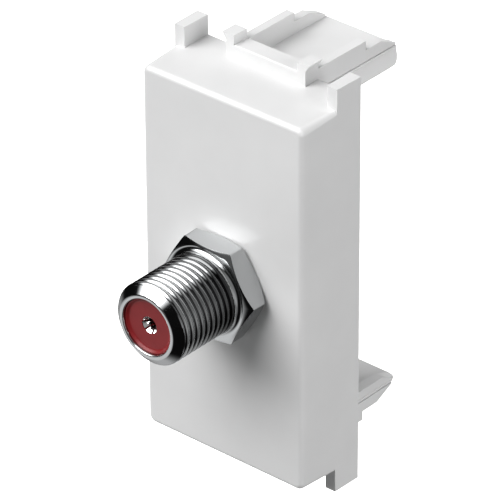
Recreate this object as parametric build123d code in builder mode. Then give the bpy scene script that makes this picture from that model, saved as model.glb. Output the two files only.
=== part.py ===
"""Satellite television socket module.

A moulded half-width module snaps into a mounting frame at its top and bottom ends. A
double-ended threaded coaxial coupler goes through its front wall and is held by a nut
behind it.

Sizes are in millimetres. X is to the right, Y goes into the module and Z is up. The
origin lies on the coupler's axis, in the plane of the front face.
"""

import os
from math import cos, radians, tan

from build123d import *

# Module shell: the format size is reached at the open back
module_width = 22.5
module_height = 45.1
module_depth = 9.2
front_wall = 2.0
side_wall = 1.54
end_wall = 1.5
draft_angle = 1.43
long_edge_radius = 0.6
front_edge_radius = 0.42

# Ears: the side walls run past both ends of the body
ear_depth = 3.75
ear_height = 2.38
ear_tip_wall = 1.36

# Latch at each end: a step with two teeth, then a ribbed arm that reaches back
latch_width = 10.92
latch_front = 7.13
step_depth = 2.14
step_height = 1.45
step_edge_radius = 0.16
tooth_height = 1.1
tooth_root_height = 0.3
tooth_flare = 0.54
arm_back = 22.35
arm_drop = 1.35
web_thickness = 0.77
rib_thickness = 1.1
rib_height = 2.6
rib_length = 7.76
low_rib_height = 1.5
low_rib_length = 2.48
rib_end_height = 0.28
rib_end_gap = 0.22
groove_depth = 0.2
groove_height = 0.2
flange_overhang = 1.08
flange_fall = 1.39
flange_chamfer = 0.5
flange_thickness = 1.67
flange_end_run = 2.6
arm_corner_radius = 2.1

# Coupler: 3/8-32 outside thread, a hexagonal flange in front and a plain bore
thread_radius = 9.525 / 2
thread_end_radius = 3.76
thread_end_angle = 50
front_reach = 12.2
rear_reach = 14.8
hex_across_flats = 11.11
hex_thickness = 2.95
hex_chamfer_angle = 30
hex_face_ratio = 0.97
hex_root_radius = 0.56
coupler_bore_radius = 3.27
middle_ring_radius = 2.3
middle_ring_width = 2.0
panel_hole_clearance = 0.15

# Insulators, one pushed into each end of the bore
insulator_recess = 0.5
insulator_rim_width = 0.42
insulator_rim_height = 0.22
insulator_crest_width = 0.16
insulator_crest_chamfer = 0.06
insulator_face_radius = 0.3
insulator_clearance = 0.02
contact_hole_radius = 1.03

# Spring contact, gripped by a collar between the insulators
contact_radius = 0.98
contact_bore_radius = 0.45
contact_recess = 0.06
contact_mouth_radius = 0.93
contact_taper_angle = 32
contact_bore_depth = 7.0
contact_slot_count = 6
contact_slot_angle = 49
contact_slot_width = 0.22
contact_slot_length = 5.0
contact_collar_radius = 1.7
contact_collar_width = 1.2
contact_clearance = 0.02

# Fixing behind the front wall
washer_radius = 6.6
washer_ring_width = 1.0
washer_thickness = 0.5
washer_tooth_count = 10
washer_tooth_width = 1.3
washer_clearance = 0.1
nut_across_flats = 11.11
nut_thickness = 2.4
nut_thread_clearance = 0.05
nut_mouth_chamfer = 0.3

draft = tan(radians(draft_angle))
end_z = module_height / 2
wall_back = Plane.XZ.offset(-module_depth)


def half_width_at(y):
    """Half the module's width at a depth behind the front face."""
    return module_width / 2 - draft * (module_depth - y)


# Snap latch, as it stands at the top end

step_top = end_z + step_height
step_back = latch_front + step_depth
web_top = end_z - arm_drop
web_bottom = web_top - web_thickness
half_latch = latch_width / 2
rib_inner = half_latch - rib_thickness
rib_foot = half_latch - groove_depth
flange_outer = half_latch + flange_overhang
flange_edge = web_top - flange_fall
flange_bottom = flange_edge - flange_chamfer
flange_inner = flange_outer - flange_thickness
high_rib_back = step_back + rib_length
low_rib_back = high_rib_back + low_rib_length
rib_end = arm_back - rib_end_gap

with BuildPart() as latch:
    # Arm: a web between two flanges, whose outer faces slope away from the ribs
    with BuildSketch(Plane.XZ.offset(-arm_back)):
        with BuildLine():
            Polyline(
                (0, web_top),
                (rib_foot, web_top),
                (flange_outer, flange_edge),
                (flange_outer - flange_chamfer, flange_bottom),
                (flange_inner, flange_bottom),
                (flange_inner, web_bottom),
                (0, web_bottom),
                close=True,
            )
        make_face()
        mirror(about=Plane.YZ)
    extrude(amount=arm_back - latch_front)

    # The flanges run out towards the arm's free end
    with BuildSketch(Plane.YZ):
        with BuildLine():
            Polyline(
                (latch_front, flange_bottom),
                (arm_back - flange_end_run, flange_bottom),
                (arm_back, web_bottom),
                (arm_back, web_top),
                (latch_front, web_top),
                close=True,
            )
        make_face()
    extrude(amount=flange_outer, both=True, mode=Mode.INTERSECT)

    # Rounded corners in plan
    with BuildSketch(Plane.XY.offset(flange_bottom)):
        with BuildLine():
            Polyline(
                (flange_outer, latch_front),
                (flange_outer, arm_back),
                (-flange_outer, arm_back),
                (-flange_outer, latch_front),
                close=True,
            )
        make_face()
        free_corners = vertices().group_by(Axis.Y)[-1]
        fillet(free_corners, radius=arm_corner_radius)
    extrude(amount=web_top - flange_bottom, mode=Mode.INTERSECT)

    # Ribs along both sides of the arm, stepped down and chamfered at the free end
    with BuildSketch(Plane.YZ.offset(rib_inner)):
        with BuildLine():
            Polyline(
                (latch_front, web_bottom),
                (latch_front, web_top + rib_height),
                (high_rib_back, web_top + rib_height),
                (high_rib_back, web_top + low_rib_height),
                (low_rib_back, web_top + low_rib_height),
                (rib_end, web_top + rib_end_height),
                (rib_end, web_bottom),
                close=True,
            )
        make_face()
    extrude(amount=rib_thickness)
    with BuildSketch(Plane.YZ.offset(rib_foot)):
        with Locations(((step_back + arm_back) / 2, web_top + groove_height / 2)):
            Rectangle(arm_back - step_back, groove_height)
    extrude(amount=groove_depth, mode=Mode.SUBTRACT)
    split(bisect_by=Plane.YZ, keep=Keep.TOP)
    mirror(about=Plane.YZ)

    # Step that stands on the end wall
    with BuildSketch(Plane.YZ):
        with BuildLine():
            Polyline(
                (latch_front, web_bottom),
                (latch_front, step_top),
                (step_back, step_top),
                (step_back, web_bottom),
                close=True,
            )
        make_face()
    extrude(amount=half_latch, both=True)
    step_edge = edges().filter_by(Axis.X).group_by(Axis.Z)[-1].sort_by(Axis.Y)[0]
    fillet(step_edge, radius=step_edge_radius)

    # Teeth on the step, flared outwards
    with BuildSketch(Plane.XZ.offset(-step_back)):
        with BuildLine():
            Polyline(
                (rib_inner, step_top - step_edge_radius),
                (rib_inner, step_top + tooth_height),
                (half_latch + tooth_flare, step_top + tooth_height),
                (half_latch, step_top + tooth_root_height),
                (half_latch, step_top - step_edge_radius),
                close=True,
            )
        make_face()
        mirror(about=Plane.YZ)
    extrude(amount=step_depth)


# Module body, one moulding

panel_hole_radius = thread_radius + panel_hole_clearance
ear_front = module_depth - ear_depth
ear_outer_front = half_width_at(ear_front)

with BuildPart() as module_body:
    with BuildSketch(wall_back):
        Rectangle(module_width, module_height)
    extrude(amount=module_depth, taper=draft_angle)
    long_edges = edges().filter_by(Axis.X, reverse=True).filter_by(Axis.Z, reverse=True)
    fillet(long_edges, radius=long_edge_radius)
    fillet(faces().sort_by(Axis.Y)[0].edges(), radius=front_edge_radius)

    # Ears at the four corners
    with BuildSketch(Plane.XY.offset(end_z - end_wall)):
        with BuildLine():
            Polyline(
                (module_width / 2, module_depth),
                (module_width / 2 - side_wall, module_depth),
                (ear_outer_front - ear_tip_wall, ear_front),
                (ear_outer_front, ear_front),
                close=True,
            )
        make_face()
        mirror(about=Plane.YZ)
    ears = extrude(amount=end_wall + ear_height)
    mirror(ears, about=Plane.XY)

    # Open back
    with BuildSketch(wall_back):
        Rectangle(module_width - 2 * side_wall, module_height - 2 * end_wall)
    extrude(amount=module_depth - front_wall, taper=draft_angle, mode=Mode.SUBTRACT)

    # Hole for the coupler
    with Locations(Plane.XZ):
        Hole(radius=panel_hole_radius)

    # A snap latch at each end
    add(latch.part)
    mirror(latch.part, about=Plane.XY)

module_body.part.label = "module_body"


# Coupler body, turned from hexagonal bar

thread_end_length = (thread_radius - thread_end_radius) / tan(radians(thread_end_angle))
hex_face_width = hex_face_ratio * hex_across_flats / 2 - thread_radius
ring_front = -middle_ring_width / 2
ring_back = middle_ring_width / 2


def hex_envelope(across_flats, thickness):
    """Half section of the turned double chamfer on a hexagon's corners."""
    corner = across_flats / 2 / cos(radians(30))
    face = hex_face_ratio * across_flats / 2
    fall = (corner - face) * tan(radians(hex_chamfer_angle))
    return [
        (0, 0),
        (face, 0),
        (corner, fall),
        (corner, thickness - fall),
        (face, thickness),
        (0, thickness),
    ]


with BuildPart() as coupler_body:
    with BuildSketch(Plane.XZ):
        RegularPolygon(radius=hex_across_flats / 2, side_count=6, major_radius=False)
    extrude(amount=hex_thickness)
    with BuildSketch(Plane.XY):
        with BuildLine():
            Polyline(*[(r, -y) for r, y in hex_envelope(hex_across_flats, hex_thickness)], close=True)
        make_face()
    revolve(axis=Axis.Y, mode=Mode.INTERSECT)
    with BuildSketch(Plane.XY):
        with BuildLine():
            Polyline(
                (0, -front_reach),
                (thread_end_radius, -front_reach),
                (thread_radius, -front_reach + thread_end_length),
                (thread_radius, rear_reach - thread_end_length),
                (thread_end_radius, rear_reach),
                (0, rear_reach),
                close=True,
            )
        make_face()
    revolve(axis=Axis.Y)
    root = edges().filter_by(GeomType.CIRCLE).group_by(Axis.Y)[2].sort_by(SortBy.RADIUS)[0]
    fillet(root, radius=min(hex_root_radius, 0.9 * hex_face_width))
    with BuildSketch(Plane.XY):
        with BuildLine():
            Polyline(
                (0, -front_reach),
                (coupler_bore_radius, -front_reach),
                (coupler_bore_radius, ring_front),
                (middle_ring_radius, ring_front),
                (middle_ring_radius, ring_back),
                (coupler_bore_radius, ring_back),
                (coupler_bore_radius, rear_reach),
                (0, rear_reach),
                close=True,
            )
        make_face()
    revolve(axis=Axis.Y, mode=Mode.SUBTRACT)

coupler_body.part.label = "coupler_body"


# Insulators: a sleeve with a beaded rim, pushed in from each end onto the middle ring

insulator_radius = coupler_bore_radius - insulator_clearance
collar_pocket_radius = contact_collar_radius + contact_clearance
collar_front = -contact_collar_width / 2
collar_back = contact_collar_width / 2
nose_length = middle_ring_width / 2


def insulator_section(seat, collar_face, mouth):
    """Half section of a sleeve from its seat on the ring to its mouth."""
    outward = 1 if mouth > seat else -1
    rim_top = mouth + outward * insulator_rim_height
    return [
        (contact_hole_radius, mouth),
        (insulator_radius - insulator_rim_width, mouth),
        (insulator_radius - insulator_crest_width, rim_top),
        (insulator_radius - insulator_crest_chamfer, rim_top),
        (insulator_radius, rim_top - outward * insulator_crest_chamfer),
        (insulator_radius, seat),
        (middle_ring_radius - insulator_clearance, seat),
        (middle_ring_radius - insulator_clearance, seat - outward * nose_length),
        (collar_pocket_radius, seat - outward * nose_length),
        (collar_pocket_radius, collar_face),
        (contact_hole_radius, collar_face),
    ]


front_mouth = -front_reach + insulator_recess
rear_mouth = rear_reach - insulator_recess

with BuildPart() as front_insulator:
    with BuildSketch(Plane.XY):
        with BuildLine():
            Polyline(*insulator_section(ring_front, collar_front, front_mouth), close=True)
        make_face()
        face_corner = (insulator_radius - insulator_rim_width, front_mouth)
        fillet(vertices().sort_by_distance(face_corner)[0], radius=insulator_face_radius)
    revolve(axis=Axis.Y)

front_insulator.part.label = "front_insulator"

with BuildPart() as rear_insulator:
    with BuildSketch(Plane.XY):
        with BuildLine():
            Polyline(*insulator_section(ring_back, collar_back, rear_mouth), close=True)
        make_face()
        face_corner = (insulator_radius - insulator_rim_width, rear_mouth)
        fillet(vertices().sort_by_distance(face_corner)[0], radius=insulator_face_radius)
    revolve(axis=Axis.Y)

rear_insulator.part.label = "rear_insulator"


# Centre contact: a turned pin, bored at both ends and slotted into spring leaves

contact_front = front_mouth + contact_recess
contact_back = rear_mouth - contact_recess
contact_taper_length = (contact_mouth_radius - contact_bore_radius) / tan(radians(contact_taper_angle))

with BuildPart() as centre_contact:
    with BuildSketch(Plane.XY):
        with BuildLine():
            Polyline(
                (0, contact_front),
                (contact_radius, contact_front),
                (contact_radius, collar_front),
                (contact_collar_radius, collar_front),
                (contact_collar_radius, collar_back),
                (contact_radius, collar_back),
                (contact_radius, contact_back),
                (0, contact_back),
                close=True,
            )
        make_face()
    revolve(axis=Axis.Y)
    for mouth, inward in ((contact_front, 1), (contact_back, -1)):
        bore_end = mouth + inward * contact_bore_depth
        with BuildSketch(Plane.XY):
            with BuildLine():
                Polyline(
                    (0, mouth),
                    (contact_mouth_radius, mouth),
                    (contact_bore_radius, mouth + inward * contact_taper_length),
                    (contact_bore_radius, bore_end),
                    (0, bore_end),
                    close=True,
                )
            make_face()
        revolve(axis=Axis.Y, mode=Mode.SUBTRACT)
        with BuildSketch(Plane.XZ.offset(-mouth)):
            with PolarLocations(0, contact_slot_count, start_angle=contact_slot_angle):
                Rectangle(contact_radius, contact_slot_width, align=(Align.MIN, Align.CENTER))
        extrude(amount=-inward * contact_slot_length, mode=Mode.SUBTRACT)

centre_contact.part.label = "centre_contact"


# Lock washer with inner teeth, against the back of the front wall

washer_hole_radius = thread_radius + washer_clearance
washer_ring_inner = washer_radius - washer_ring_width
washer_ring_middle = washer_radius - washer_ring_width / 2

with BuildPart() as lock_washer:
    with BuildSketch(Plane.XZ.offset(-front_wall)):
        Circle(washer_radius)
        Circle(washer_ring_inner, mode=Mode.SUBTRACT)
        with PolarLocations(0, washer_tooth_count):
            Rectangle(washer_ring_middle, washer_tooth_width, align=(Align.MIN, Align.CENTER))
        Circle(washer_hole_radius, mode=Mode.SUBTRACT)
    extrude(amount=-washer_thickness)

lock_washer.part.label = "lock_washer"


# Panel nut

nut_front = front_wall + washer_thickness
nut_hole_radius = thread_radius + nut_thread_clearance

with BuildPart() as panel_nut:
    with BuildSketch(Plane.XZ.offset(-nut_front)):
        RegularPolygon(radius=nut_across_flats / 2, side_count=6, major_radius=False)
    extrude(amount=-nut_thickness)
    with BuildSketch(Plane.XY):
        with BuildLine():
            nut_section = hex_envelope(nut_across_flats, nut_thickness)
            Polyline(*[(r, nut_front + y) for r, y in nut_section], close=True)
        make_face()
    revolve(axis=Axis.Y, mode=Mode.INTERSECT)
    with Locations(Plane.XZ):
        Hole(radius=nut_hole_radius)
    mouths = edges().filter_by(GeomType.CIRCLE).group_by(SortBy.RADIUS)[0]
    chamfer(mouths, length=nut_mouth_chamfer)

panel_nut.part.label = "panel_nut"


os.makedirs("parts", exist_ok=True)
export_step(module_body.part, "parts/module_body.step")
export_step(coupler_body.part, "parts/coupler_body.step")
export_step(front_insulator.part, "parts/front_insulator.step")
export_step(rear_insulator.part, "parts/rear_insulator.step")
export_step(centre_contact.part, "parts/centre_contact.step")
export_step(lock_washer.part, "parts/lock_washer.step")
export_step(panel_nut.part, "parts/panel_nut.step")
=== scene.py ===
# %% [markdown]
# # A satellite television socket module
# The real object is a white moulded module, half a wall plate wide. It snaps into a frame
# with a ribbed spring latch at each end. A nickel-plated coupler with a thread at both ends
# goes through its front wall.
#
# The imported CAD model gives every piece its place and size, in metres. This lesson dresses
# that model: it rounds the moulding's edges, cuts the thread, opens the contact's mouths
# and mixes the finishes.

# %% Load the frame
from functools import partial
from math import cos, hypot, pi, radians, sin, tan

import bmesh
import bpy
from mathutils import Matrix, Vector


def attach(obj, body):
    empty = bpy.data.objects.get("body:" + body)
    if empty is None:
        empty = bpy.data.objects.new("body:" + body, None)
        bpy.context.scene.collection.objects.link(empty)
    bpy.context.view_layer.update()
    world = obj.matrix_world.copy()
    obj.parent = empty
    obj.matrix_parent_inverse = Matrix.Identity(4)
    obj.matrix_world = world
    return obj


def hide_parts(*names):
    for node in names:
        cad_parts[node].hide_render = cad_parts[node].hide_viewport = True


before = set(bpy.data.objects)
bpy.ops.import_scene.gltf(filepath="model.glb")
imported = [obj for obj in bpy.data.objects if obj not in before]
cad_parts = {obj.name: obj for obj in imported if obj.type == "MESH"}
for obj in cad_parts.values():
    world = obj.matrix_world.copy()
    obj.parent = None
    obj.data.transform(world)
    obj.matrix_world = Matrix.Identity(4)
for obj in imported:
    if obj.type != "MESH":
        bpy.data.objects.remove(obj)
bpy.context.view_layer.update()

scene = bpy.context.scene
MM = 0.001
print("nodes:", sorted(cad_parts))

# %% [markdown]
# ## The camera
# The photograph looks down at the module from its right, through a long lens. Long lenses
# flatten perspective, so the camera stands half a metre away from a 50 mm object. The place
# and the angles below were solved from the module's own straight edges.

# %% Camera
camera_data = bpy.data.cameras.new("studio_camera")
camera_data.sensor_width = 36
camera_data.lens = 355.81
camera = bpy.data.objects.new("studio_camera", camera_data)
camera.location = (0.29417, -0.33698, 0.27437)
camera.rotation_euler = (radians(58.8312), radians(0.2642), radians(40.5838))
scene.collection.objects.link(camera)
scene.camera = camera
print("camera stands", round(camera.location.length / MM), "mm from the middle of the front")

# %% [markdown]
# ## Helpers for node trees
# Materials and Geometry Nodes are both trees of nodes. A few small helpers keep the wiring
# readable. Each of them takes plain values or the outputs of earlier nodes.


# %% Node helpers
def fill(tree, node, inputs):
    """Sets or links inputs: a socket's name or number goes to a value or an output."""
    for key, value in inputs.items():
        if isinstance(value, bpy.types.NodeSocket):
            tree.links.new(value, node.inputs[key])
        else:
            node.inputs[key].default_value = value


def put(tree, kind, inputs=None, **settings):
    """Adds a node with its settings, and fills its inputs."""
    node = tree.nodes.new(kind)
    for key, value in settings.items():
        setattr(node, key, value)
    fill(tree, node, inputs or {})
    return node


def calc(tree, operation, *values, clamp=False):
    """One step of arithmetic."""
    inputs = dict(enumerate(values))
    return put(tree, "ShaderNodeMath", inputs, operation=operation, use_clamp=clamp).outputs[0]


def remap(tree, value, start, end, low, high, shape="LINEAR"):
    """Goes from low to high while value goes from start to end, and stays there."""
    inputs = {"Value": value, "From Min": start, "From Max": end, "To Min": low, "To Max": high}
    return put(tree, "ShaderNodeMapRange", inputs, interpolation_type=shape).outputs[0]


def noise(tree, where, scale, detail):
    """A cloudy pattern between 0 and 1. The scale is in clouds per metre."""
    inputs = {"Vector": where, "Scale": scale, "Detail": detail}
    return put(tree, "ShaderNodeTexNoise", inputs).outputs["Fac"]


def bump(tree, height, strength, distance):
    """Tilts the shading as if the surface had this height."""
    inputs = {"Strength": strength, "Distance": distance, "Height": height}
    return put(tree, "ShaderNodeBump", inputs).outputs[0]


def two_tone(tree, factor, start, dark, end, light):
    """A colour that goes from dark to light while factor goes from start to end."""
    ramp = put(tree, "ShaderNodeValToRGB", {"Fac": factor})
    first, last = ramp.color_ramp.elements
    first.position, first.color = start, dark
    last.position, last.color = end, light
    return ramp.outputs["Color"]


def finish_tree(name):
    """A new material, its tree, its Principled shader, and object coordinates to read."""
    material = bpy.data.materials.new(name)
    material.use_nodes = True
    tree = material.node_tree
    where = put(tree, "ShaderNodeTexCoord").outputs["Object"]
    return material, tree, tree.nodes["Principled BSDF"], where


# %% [markdown]
# ## White moulded plastic
# The module is moulded in a white, satin-gloss plastic. Up close such a surface is never
# perfectly even: the mould's polish leaves a faint grain, and the gloss varies a little over
# a few millimetres. A fine noise makes the grain through a bump, and a wide noise moves
# the colour and the roughness by a few hundredths.

# %% White plastic
WHITE_LOW = (0.7, 0.7, 0.7, 1)
WHITE_HIGH = (0.725, 0.725, 0.725, 1)

module_plastic, tree, shader, where = finish_tree("module_plastic")
drift = noise(tree, where, scale=140.0, detail=3.0)
grain = noise(tree, where, scale=5200.0, detail=2.0)
fill(tree, shader, {
    "Base Color": two_tone(tree, drift, 0.35, WHITE_LOW, 0.65, WHITE_HIGH),
    "Roughness": remap(tree, drift, 0, 1, 0.27, 0.35),
    "Normal": bump(tree, grain, strength=0.05, distance=0.00002),
    "IOR": 1.49,
})
print("white plastic:", len(tree.nodes), "nodes")

# %% [markdown]
# ## Nickel plating
# The coupler, the nut, the washer and the contact have a bright plating, which is a mirror
# with a grey tint. The lathe leaves fine rings round the axis, which show as a slight streak
# in the gloss. The rings come from a noise that only changes with the distance along the
# axis and the distance from it.
#
# The tint is also lowered where the stored attribute "groove" is high, which paints shade into
# the bottom of a thread's groove. On a piece without that attribute nothing changes.

# %% Nickel plating
GROOVE_STARTS = 0.45
GROOVE_FULL = 0.8
GROOVE_PAINTED_SHADE = 0.1


def plated(name, colour, smoothest, roughest, ring_strength):
    """A plated finish from its tint, its range of roughness and the strength of its rings."""
    material, tree, shader, where = finish_tree(name)
    x, y, z = put(tree, "ShaderNodeSeparateXYZ", {"Vector": where}).outputs
    squares = calc(tree, "POWER", x, 2.0), calc(tree, "POWER", z, 2.0)
    across = calc(tree, "SQRT", calc(tree, "ADD", *squares))
    lathe = put(tree, "ShaderNodeCombineXYZ", {"X": across, "Y": y}).outputs[0]
    rings = noise(tree, lathe, scale=9000.0, detail=3.0)
    cloud = noise(tree, where, scale=420.0, detail=4.0)
    groove = put(tree, "ShaderNodeAttribute", attribute_name="groove").outputs["Fac"]
    # Painted shade: the tint darkens towards the bottom of a thread's groove.
    shade = remap(tree, groove, GROOVE_STARTS, GROOVE_FULL, 1.0, GROOVE_PAINTED_SHADE)
    tint = calc(tree, "MULTIPLY", remap(tree, cloud, 0, 1, 0.97, 1.03), shade)
    base = put(tree, "ShaderNodeVectorMath", {0: colour, "Scale": tint}, operation="SCALE")
    fill(tree, shader, {
        "Base Color": base.outputs[0],
        "Roughness": remap(tree, cloud, 0, 1, smoothest, roughest),
        "Normal": bump(tree, rings, strength=ring_strength, distance=0.00001),
        "Metallic": 1.0,
    })
    return material


coupler_plating = plated("coupler_plating", (0.48, 0.488, 0.492), 0.08, 0.11, 0.01)
nut_plating = plated("nut_plating", (0.78, 0.785, 0.78), 0.12, 0.2, 0.08)
washer_plating = plated("washer_plating", (0.72, 0.725, 0.72), 0.18, 0.28, 0.1)
contact_plating = plated("contact_plating", (0.88, 0.88, 0.87), 0.13, 0.17, 0.02)
print("plated finishes: coupler, nut, washer, contact")

# %% [markdown]
# ## Red insulator plastic
# The insulators are dark red, in a plastic that is a little duller than the module's. Its
# colour and gloss drift a little, and a fine noise roughens it.

# %% Red plastic
RED_LOW = (0.185, 0.012, 0.014, 1)
RED_HIGH = (0.21, 0.016, 0.018, 1)


def insulator_plastic(name):
    """The dark red finish of one insulator."""
    material, tree, shader, where = finish_tree(name)
    drift = noise(tree, where, scale=700.0, detail=4.0)
    grain = noise(tree, where, scale=7000.0, detail=2.0)
    fill(tree, shader, {
        "Base Color": two_tone(tree, drift, 0.3, RED_LOW, 0.7, RED_HIGH),
        "Roughness": remap(tree, drift, 0, 1, 0.3, 0.4),
        "Normal": bump(tree, grain, strength=0.08, distance=0.00001),
        "Specular IOR Level": 0.25,
    })
    return material


front_insulator_plastic = insulator_plastic("front_insulator_plastic")
rear_insulator_plastic = insulator_plastic("rear_insulator_plastic")
print("red plastic: 2 finishes")

# %% [markdown]
# ## Helpers for finished pieces
# A finished piece starts from a CAD node's mesh, or from nothing, and stands in for that
# node. The CAD mesh comes as loose triangles, so a copy is merged first. Modifiers are
# turned into plain mesh before the piece is handed over.


# %% Helpers for finished pieces
def copied(node):
    """A merged copy of a CAD node's mesh, its faces already pointing outwards."""
    mesh = bmesh.new()
    mesh.from_mesh(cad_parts[node].data)
    bmesh.ops.remove_doubles(mesh, verts=mesh.verts, dist=1e-7)
    return mesh


def place(mesh, name, material, node):
    """Makes the finished object for a CAD node and hides the node's own mesh."""
    data = bpy.data.meshes.new(name)
    mesh.to_mesh(data)
    mesh.free()
    data.materials.append(material)
    piece = bpy.data.objects.new(name, data)
    scene.collection.objects.link(piece)
    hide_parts(node)
    return piece


def bake(piece):
    """Turns what the modifiers make into the piece's own plain mesh."""
    bpy.context.view_layer.update()
    evaluated = piece.evaluated_get(bpy.context.evaluated_depsgraph_get())
    plain = bpy.data.meshes.new_from_object(evaluated)
    piece.modifiers.clear()
    piece.data = plain


def smooth(piece, angle=None):
    """Smooth shading. With an angle, edges sharper than that stay crisp."""
    piece.data.polygons.foreach_set("use_smooth", [True] * len(piece.data.polygons))
    if angle is not None:
        piece.data.set_sharp_from_angle(angle=radians(angle))


# %% [markdown]
# ## The moulding's front edges
# The front face's edges are rounder in the photograph than in the CAD model. Making the
# whole front again would lose the CAD model's exact form, so only the points of the rounding
# are spread away from the edge, by one factor. The points between the rounding and a flat
# face slide along the face, so every flat face stays flat. Before that, the triangles of
# each flat face are joined back into whole polygons. All sizes below are in millimetres.

# %% Front edges
MODULE_WIDTH = 22.5
MODULE_HEIGHT = 45.1
MODULE_DEPTH = 9.2
DRAFT = tan(radians(1.43))
ROUNDING_DEPTH = 0.43
ROUNDING_INSET = 0.62
SPREAD = 1.5


def half_at(full_size, y):
    """Half the drafted shell's width or height at a depth behind the front face."""
    return full_size / 2 - DRAFT * (MODULE_DEPTH - y)


def slid(place_at, full_size, y):
    """A point's new place across the front, or its old one where it is far from the edge."""
    inset = half_at(full_size, y) - abs(place_at)
    if inset > ROUNDING_INSET:
        return place_at
    side = 1 if place_at > 0 else -1
    return (half_at(full_size, SPREAD * y) - SPREAD * inset) * side


mesh = copied("module_body")
bmesh.ops.dissolve_limit(mesh, angle_limit=radians(0.4), verts=mesh.verts, edges=mesh.edges)
moved = 0
for vertex in mesh.verts:
    x, y, z = vertex.co / MM
    if y < ROUNDING_DEPTH:
        new_x, new_z = slid(x, MODULE_WIDTH, y), slid(z, MODULE_HEIGHT, y)
        if (new_x, new_z) != (x, z):
            vertex.co = Vector((new_x, SPREAD * y, new_z)) * MM
            moved += 1
print("front edges:", moved, "points moved")

# %% [markdown]
# ## The moulding's other edges
# A moulded edge is never sharp: every one has a small radius, and that radius catches a thin
# line of light. A Bevel modifier rounds each edge that is left. Weighted normals then keep
# the flat faces looking flat, so the narrow rounded strips show the whole turn.

# %% Module moulding
BEVEL_WIDTH = 0.07

moulding = place(mesh, "module_moulding", module_plastic, "module_body")
edge_round = moulding.modifiers.new("edge_round", "BEVEL")
edge_round.width = BEVEL_WIDTH * MM
edge_round.segments = 2
edge_round.limit_method = "ANGLE"
edge_round.angle_limit = radians(32)
edge_round.harden_normals = True
smooth(moulding)
flat_faces = moulding.modifiers.new("flat_faces", "WEIGHTED_NORMAL")
flat_faces.mode = "FACE_AREA"
flat_faces.weight = 50
bake(moulding)
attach(moulding, "root")
print("moulding:", len(moulding.data.polygons), "faces")

# %% [markdown]
# ## The thread, by Geometry Nodes
# A thread follows a rule: one ridge winds round the barrel and climbs by a pitch each turn.
# The tree below starts from a flat grid, rolls it into a tube and shears it so that its rows
# climb with the ridge. The radius of each row then comes from its phase in the pitch. The
# sheared rows are why the crest stays perfectly even. The same tree cuts both threads, so
# the lip, the neck beside the hexagon and the ends are inputs.

# %% Thread inputs
SEGMENTS = 160
ROWS_PER_TURN = 16

thread_tree = bpy.data.node_groups.new("screw_thread", "GeometryNodeTree")
thread_tree.interface.new_socket("Geometry", in_out="OUTPUT", socket_type="NodeSocketGeometry")
thread_inputs = {}
for label in ("Crest Radius", "Root Radius", "Pitch", "Front End", "Back End",
              "Front Lip", "Back Lip", "Lip Slope", "Front Neck", "Back Neck",
              "Runout", "Roundness", "Material"):
    kind = "NodeSocketMaterial" if label == "Material" else "NodeSocketFloat"
    socket = thread_tree.interface.new_socket(label, in_out="INPUT", socket_type=kind)
    thread_inputs[label] = socket.identifier
given = thread_tree.nodes.new("NodeGroupInput").outputs
add = partial(calc, thread_tree, "ADD")
subtract = partial(calc, thread_tree, "SUBTRACT")
multiply = partial(calc, thread_tree, "MULTIPLY")
divide = partial(calc, thread_tree, "DIVIDE")
lowest = partial(calc, thread_tree, "MINIMUM")
highest = partial(calc, thread_tree, "MAXIMUM")
print("thread inputs:", ", ".join(thread_inputs))

# %% [markdown]
# ## The thread's rows
# The grid has one column for each step round the barrel, and enough rows for the barrel's
# length with one turn to spare for the shear. A row starts one pitch early and climbs a pitch
# on its way round the barrel. Where a row would pass an end of the barrel, it lies on it.

# %% Thread rows
span = add(subtract(given["Back End"], given["Front End"]), given["Pitch"])
rows = calc(thread_tree, "CEIL", multiply(divide(span, given["Pitch"]), float(ROWS_PER_TURN)))
grid = put(thread_tree, "GeometryNodeMeshGrid", {
    "Size X": 1.0,
    "Size Y": 1.0,
    "Vertices X": SEGMENTS + 1,
    "Vertices Y": put(thread_tree, "FunctionNodeFloatToInt", {0: add(rows, 1.0)}).outputs[0],
}).outputs["Mesh"]
spot = put(thread_tree, "GeometryNodeInputPosition").outputs[0]
grid_x, grid_y, _ = put(thread_tree, "ShaderNodeSeparateXYZ", {"Vector": spot}).outputs
around = add(grid_x, 0.5)
turns = divide(multiply(add(grid_y, 0.5), rows), float(ROWS_PER_TURN))
climb = multiply(subtract(add(turns, around), 1.0), given["Pitch"])
height = add(given["Front End"], climb)
height = lowest(highest(height, given["Front End"]), given["Back End"])
print("each turn of the thread has", ROWS_PER_TURN, "rows of", SEGMENTS, "segments")

# %% [markdown]
# ## The thread's profile
# Roundness says how full the ridge is: 1 is a sharp V, more is rounded over the crest and steep
# at the root. The ridge fades out beside the necks. At its lip the barrel's end is turned down to
# a cone, which has no groove. How deep a point lies in the groove is kept too, so that shade can
# be painted into the plating there.

# %% Thread profile
wave = multiply(calc(thread_tree, "PINGPONG", turns, 0.5), 2.0)
ridge = subtract(1.0, calc(thread_tree, "POWER", subtract(1.0, wave), given["Roundness"]))
from_front = subtract(subtract(height, given["Front End"]), given["Front Neck"])
from_back = subtract(subtract(given["Back End"], height), given["Back Neck"])
fade = divide(lowest(from_front, from_back), given["Runout"], clamp=True)
depth = multiply(subtract(given["Crest Radius"], given["Root Radius"]), fade)
radius = subtract(given["Crest Radius"], multiply(depth, subtract(1.0, ridge)))
to_front = multiply(subtract(height, given["Front End"]), given["Lip Slope"])
to_back = multiply(subtract(given["Back End"], height), given["Lip Slope"])
cone = lowest(add(given["Front Lip"], to_front), add(given["Back Lip"], to_back))
on_thread = calc(thread_tree, "LESS_THAN", radius, cone)
# Depth in the groove, stored so that the plating's tint can carry painted shade there.
groove = multiply(multiply(subtract(1.0, ridge), fade), on_thread)
radius = lowest(radius, cone)
print("thread tree up to its profile:", len(thread_tree.nodes), "nodes")

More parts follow.
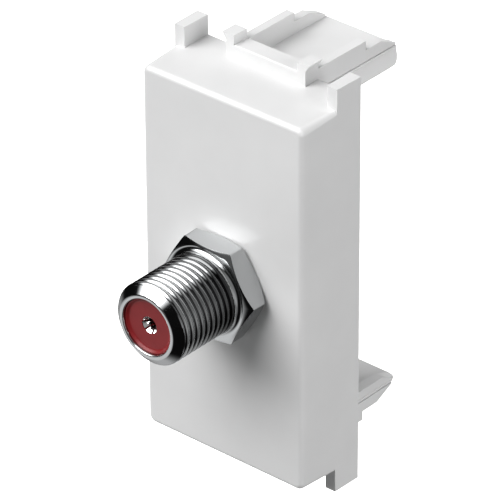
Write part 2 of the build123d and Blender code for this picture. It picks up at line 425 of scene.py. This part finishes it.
# %% [markdown]
# ## The thread's tube
# Each point of the grid now takes its place on the barrel. The grid's first and last columns
# come to lie on each other, and merging them closes the seam. Instances are made real at the
# end, because an export drops them, and the last node gives the tube its plating.

# %% Thread tube
angle = multiply(around, 2 * pi)
rolled = put(thread_tree, "ShaderNodeCombineXYZ", {
    "X": multiply(radius, calc(thread_tree, "SINE", angle)),
    "Y": height,
    "Z": multiply(radius, calc(thread_tree, "COSINE", angle)),
}).outputs[0]
tube = grid
for kind, inputs in (
    ("GeometryNodeSetPosition", {"Position": rolled}),
    ("GeometryNodeStoreNamedAttribute", {"Name": "groove", "Value": groove}),
    ("GeometryNodeMergeByDistance", {"Distance": 1e-6}),
    ("GeometryNodeRealizeInstances", {}),
    ("GeometryNodeSetMaterial", {"Material": given["Material"]}),
):
    tube = put(thread_tree, kind, {"Geometry": tube, **inputs}).outputs[0]
thread_tree.links.new(tube, thread_tree.nodes.new("NodeGroupOutput").inputs[0])
print("thread tree:", len(thread_tree.nodes), "nodes")

# %% [markdown]
# ## Cutting both threads
# The thread is the standard one of television plugs: 32 turns to the inch on a barrel of
# 3/8 inch. The front barrel has its lip in front and a plain neck beside the hexagon. The
# rear barrel is the other way round. A neck below zero means that the thread runs on past
# that end. Each tube is turned into a plain mesh, ready to be joined to the rest of the
# coupler.

# %% Cut the threads
INCH = 25.4
PITCH = INCH / 32
CREST = 3 / 8 * INCH / 2
ROOT = 4.44
ROUNDNESS = 2.5
RUNOUT = 0.3
FRONT_END = -12.2
REAR_END = 14.8
LIP = 3.76
LIP_ANGLE = 50
HEX_FRONT = -2.95
FLARE = 0.56
FRONT_NECK = 0.05
REAR_NECK = 0.75
NO_NECK = -5.0


def cut_thread(name, front, back):
    """One threaded tube. Each end is given as its place, its lip and its neck."""
    front_end, front_lip, front_neck = front
    back_end, back_lip, back_neck = back
    lengths = {
        "Crest Radius": CREST, "Root Radius": ROOT, "Pitch": PITCH, "Runout": RUNOUT,
        "Front End": front_end, "Front Lip": front_lip, "Front Neck": front_neck,
        "Back End": back_end, "Back Lip": back_lip, "Back Neck": back_neck,
    }
    values = {label: length * MM for label, length in lengths.items()}
    values["Lip Slope"] = tan(radians(LIP_ANGLE))
    values["Roundness"] = ROUNDNESS
    values["Material"] = coupler_plating
    carrier = bpy.data.objects.new(name, bpy.data.meshes.new(name))
    scene.collection.objects.link(carrier)
    modifier = carrier.modifiers.new("screw_thread", "NODES")
    modifier.node_group = thread_tree
    for label, value in values.items():
        modifier[thread_inputs[label]] = value
    bake(carrier)
    tube = carrier.data
    bpy.data.objects.remove(carrier)
    print(name, "has", len(tube.polygons), "faces")
    return tube


threads = (
    cut_thread("front_thread", (FRONT_END, LIP, NO_NECK), (HEX_FRONT - FLARE, CREST, FRONT_NECK)),
    cut_thread("rear_thread", (0.0, CREST, REAR_NECK), (REAR_END, LIP, NO_NECK)),
)

# %% [markdown]
# ## The hexagon
# Between the threads sits the hexagon, and a bore runs through everything. Both are made of
# rings, with one point for each segment of the threads, so the ends meet exactly. A ring may
# be round, or it may follow the hexagon. A hollow flare leads from the front barrel to the
# hexagon, whose corners are turned down by a cone on both sides. So the rings at its corners
# swing along the axis as the radius changes.

# %% Hexagon rings
HALF_FLATS = 11.11 / 2
HEX_FACE = 0.97 * HALF_FLATS
CHAMFER_SLOPE = tan(radians(30))


def hex_radius(step):
    """Distance from the axis to the hexagon's side."""
    turn = (2 * pi * step / SEGMENTS + pi / 6) % (pi / 3) - pi / 6
    return HALF_FLATS / cos(turn)


def swing(step):
    """How far the cone cuts into the hexagon at a point of its side."""
    return (hex_radius(step) - HEX_FACE) * CHAMFER_SLOPE


def ring(radius_at, y_at):
    """A ring of points. Radius and y are numbers, or functions of the step."""
    points = []
    for step in range(SEGMENTS):
        turn = 2 * pi * step / SEGMENTS
        radius = radius_at(step) if callable(radius_at) else radius_at
        y = y_at(step) if callable(y_at) else y_at
        points.append((radius * sin(turn) * MM, y * MM, radius * cos(turn) * MM))
    return points


def flare_ring(degrees):
    """A ring of the hollow flare that leads from the barrel to the hexagon's face."""
    turn = radians(degrees)
    return ring(CREST + FLARE * (1 - cos(turn)), HEX_FRONT - FLARE + FLARE * sin(turn))


hexagon = [
    *(flare_ring(degrees) for degrees in range(0, 91, 10)),
    ring(HEX_FACE, HEX_FRONT),
    ring(hex_radius, lambda step: HEX_FRONT + swing(step)),
    ring(hex_radius, lambda step: -swing(step)),
    ring(HEX_FACE, 0.0),
    ring(CREST, 0.0),
]
print("hexagon:", len(hexagon), "rings")

# %% [markdown]
# ## The bore
# An insulator is pushed into the bore from each end, up to a narrower ring in the middle.
# The front mouth is rounded, and the rear one has a small chamfer. Each point of the
# rounding is given as how much wider than the bore and how far from the end it lies.

# %% Bore rings
BORE = 3.27
MIDDLE_BORE = 2.3
MIDDLE_END = 1.0
REAR_CHAMFER = 0.03
MOUTH_ROUNDING = ((0.12, 0.0), (0.06, 0.02), (0.02, 0.07), (0.0, 0.16))

bore = [
    ring(LIP, FRONT_END),
    *(ring(BORE + wider, FRONT_END + deeper) for wider, deeper in MOUTH_ROUNDING),
    ring(BORE, -MIDDLE_END),
    ring(MIDDLE_BORE, -MIDDLE_END),
    ring(MIDDLE_BORE, MIDDLE_END),
    ring(BORE, MIDDLE_END),
    ring(BORE, REAR_END - REAR_CHAMFER),
    ring(BORE + REAR_CHAMFER, REAR_END),
    ring(LIP, REAR_END),
]
print("bore:", len(bore), "rings")

# %% [markdown]
# ## Joining the coupler
# Neighbouring rings are bridged with faces, and the threads are added. Points that lie in
# the same place are then merged, which closes the skin: every edge has two faces.

# %% Coupler
mesh = bmesh.new()
for tube in threads:
    mesh.from_mesh(tube)
for rings in (hexagon, bore):
    loops = [[mesh.verts.new(point) for point in points] for points in rings]
    for low, high in zip(loops, loops[1:]):
        for step in range(SEGMENTS):
            after = (step + 1) % SEGMENTS
            mesh.faces.new((low[step], low[after], high[after], high[step]))
bmesh.ops.remove_doubles(mesh, verts=mesh.verts, dist=2e-6)
bmesh.ops.dissolve_degenerate(mesh, edges=mesh.edges, dist=1e-7)
bmesh.ops.recalc_face_normals(mesh, faces=mesh.faces)
open_edges = sum(1 for edge in mesh.edges if len(edge.link_faces) != 2)
coupler = place(mesh, "coupler", coupler_plating, "coupler_body")
smooth(coupler, angle=42)
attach(coupler, "root")
print("coupler:", len(coupler.data.polygons), "faces,", open_edges, "open edges")

# %% [markdown]
# ## The contact's mouths
# The contact is a tube, slotted into six spring leaves at each end. In the photograph its
# mouth narrows slowly, so its inside is mostly dark and mirrors the light only low down.
# The CAD mouth is a blunter funnel. Here the points at the funnel's narrow end move
# outwards, and so do the points of its rim, which leaves the rim thin.

# %% Contact
FUNNEL_LENGTH = 0.77
CAD_THROAT = 0.45
THROAT = 0.67
CAD_RIM = 0.93
RIM = 0.965
NEAR = 0.02

mesh = copied("centre_contact")
front_mouth = min(vertex.co.y for vertex in mesh.verts)
rear_mouth = max(vertex.co.y for vertex in mesh.verts)
moved = 0
for vertex in mesh.verts:
    x, y, z = vertex.co
    inward = min(y - front_mouth, rear_mouth - y) / MM
    out = hypot(x, z) / MM
    if abs(inward - FUNNEL_LENGTH) < NEAR and abs(out - CAD_THROAT) < NEAR:
        growth = THROAT / CAD_THROAT
    elif inward < NEAR and abs(out - CAD_RIM) < NEAR:
        growth = RIM / CAD_RIM
    else:
        continue
    vertex.co = (growth * x, y, growth * z)
    moved += 1
contact = place(mesh, "contact", contact_plating, "centre_contact")
smooth(contact, angle=15)
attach(contact, "root")
print("contact:", len(contact.data.polygons), "faces,", moved, "points moved")

# %% [markdown]
# ## Finishes for the pieces that keep their CAD form
# The insulators, the washer and the nut already have their right shape, so they only take
# a finish.

# %% Finish the CAD pieces
for node, material in {
    "front_insulator": front_insulator_plastic,
    "rear_insulator": rear_insulator_plastic,
    "lock_washer": washer_plating,
    "panel_nut": nut_plating,
}.items():
    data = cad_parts[node].data
    data.materials.clear()
    data.materials.append(material)
    print(node, "->", material.name)

# %% [markdown]
# ## The floor
# The photograph has a plain white ground. The floor is a plain sheet well below the module,
# so that its soft shadow stays out of the frame. It glows by itself, which keeps it an even
# white, and only the camera sees it.

# %% Floor
FLOOR_HEIGHT = -0.09
FLOOR_SIZE = 4.0

floor_material, tree, shader, _ = finish_tree("floor_white")
fill(tree, shader, {
    "Base Color": (0.9, 0.9, 0.9, 1),
    "Roughness": 0.9,
    "Emission Color": (1, 1, 1, 1),
    "Emission Strength": 0.85,
})
floor_mesh = bmesh.new()
bmesh.ops.create_grid(floor_mesh, x_segments=1, y_segments=1, size=FLOOR_SIZE)
for vertex in floor_mesh.verts:
    vertex.co.z = FLOOR_HEIGHT
floor_data = bpy.data.meshes.new("floor")
floor_mesh.to_mesh(floor_data)
floor_mesh.free()
floor_data.materials.append(floor_material)
floor = bpy.data.objects.new("floor", floor_data)
scene.collection.objects.link(floor)
floor.visible_diffuse = False
floor.visible_glossy = False
print("floor at", round(FLOOR_HEIGHT / MM), "mm")

# %% [markdown]
# ## What the metal mirrors
# Plated metal looks like what it mirrors, so the world is built for it: a dark room with a
# few soft bright patches, such as the light overhead and the table below. A patch is
# brightest in its own direction and fades out around it. It is given as that direction, how
# near to it the glow starts and is full, and its brightness. Only mirrored rays see the
# patches. Diffuse rays get a low even light, and the camera gets plain white.

# %% World
DARK = 0.006

world = bpy.data.worlds.new("studio")
scene.world = world
world.use_nodes = True
tree = world.node_tree
toward = put(tree, "ShaderNodeTexCoord").outputs["Generated"]
toward_x, _, toward_z = put(tree, "ShaderNodeSeparateXYZ", {"Vector": toward}).outputs
rays = put(tree, "ShaderNodeLightPath").outputs


def facing(direction, start, end, level, shape="SMOOTHSTEP"):
    """Brightness that rises to level as a ray's direction nears the given one."""
    pair = {0: toward, 1: Vector(direction).normalized()}
    near = put(tree, "ShaderNodeVectorMath", pair, operation="DOT_PRODUCT").outputs["Value"]
    return remap(tree, near, start, end, 0, level, shape)


def choose(which, otherwise, chosen):
    """Takes chosen for the rays that which marks, and otherwise for the rest."""
    inputs = {"Factor": which, "A": otherwise, "B": chosen}
    return put(tree, "ShaderNodeMix", inputs, data_type="FLOAT").outputs["Result"]


# The table is cut off by its edge below the horizon and by its right end
table = facing((-0.62, -0.42, -0.66), 0.5, 0.96, 1.0, "LINEAR")
table = calc(tree, "MULTIPLY", table, remap(tree, toward_z, -0.2, -0.5, 0, 1, "SMOOTHSTEP"))
table = calc(tree, "MULTIPLY", table, remap(tree, toward_x, 0.1, -0.3, 0, 1, "SMOOTHSTEP"))
patches = {
    "overhead": facing((-0.35, -0.5, 0.79), 0.72, 0.9, 2.8),
    "table": table,
    "right wall": facing((1, 0.25, -0.35), 0.7, 0.95, 0.26),
    "high on the right": facing((1, -0.1, 0.35), 0.6, 0.85, 0.3),
    "ground": facing((0.2, 0.2, -0.96), 0.85, 1.0, 0.5),
    "high behind": facing((-0.3, 0.6, 0.7), 0.5, 0.9, 0.6),
    "behind": facing((0.1, 0.97, 0.2), 0.75, 0.95, 0.8),
    "front": facing((-0.3, -0.93, 0.2), 0.85, 1.0, 0.15),
}
seen = DARK
for patch in patches.values():
    seen = calc(tree, "ADD", patch, seen)
soft = remap(tree, toward_z, -1.0, -0.5, 0.5, 0.075)
level = choose(rays["Is Glossy Ray"], soft, seen)
level = choose(rays["Is Camera Ray"], level, 1.0)
background = tree.nodes["Background"]
fill(tree, background, {"Strength": level, "Color": (0.985, 0.995, 1.0, 1)})
print("world patches:", ", ".join(patches))

# %% [markdown]
# ## The lights
# The photograph has soft light from above and from the left. A large panel in front and
# above, a little to the left, makes the key light. Two weaker ones fill the right and the
# back. They would show as bright squares in the metal, so mirrored rays don't see them.


# %% Lights
def panel(name, place_at, size, power, glossy=True):
    """A square panel that shines at the middle of the module's front."""
    data = bpy.data.lights.new(name, "AREA")
    data.shape = "SQUARE"
    data.size = size
    data.energy = power
    lamp = bpy.data.objects.new(name, data)
    lamp.location = place_at
    lamp.rotation_euler = (-Vector(place_at)).to_track_quat("-Z", "Y").to_euler()
    lamp.visible_camera = False
    lamp.visible_glossy = glossy
    scene.collection.objects.link(lamp)


panel("key_above", (-0.3, -0.555, 0.645), size=0.85, power=13.4)
panel("fill_right", (0.6, 0.06, 0.12), size=0.5, power=3.1, glossy=False)
panel("fill_back", (-0.3, 0.8, 0.02), size=0.6, power=7.5, glossy=False)
scene.view_settings.view_transform = "Standard"
print("lights: 3 panels")
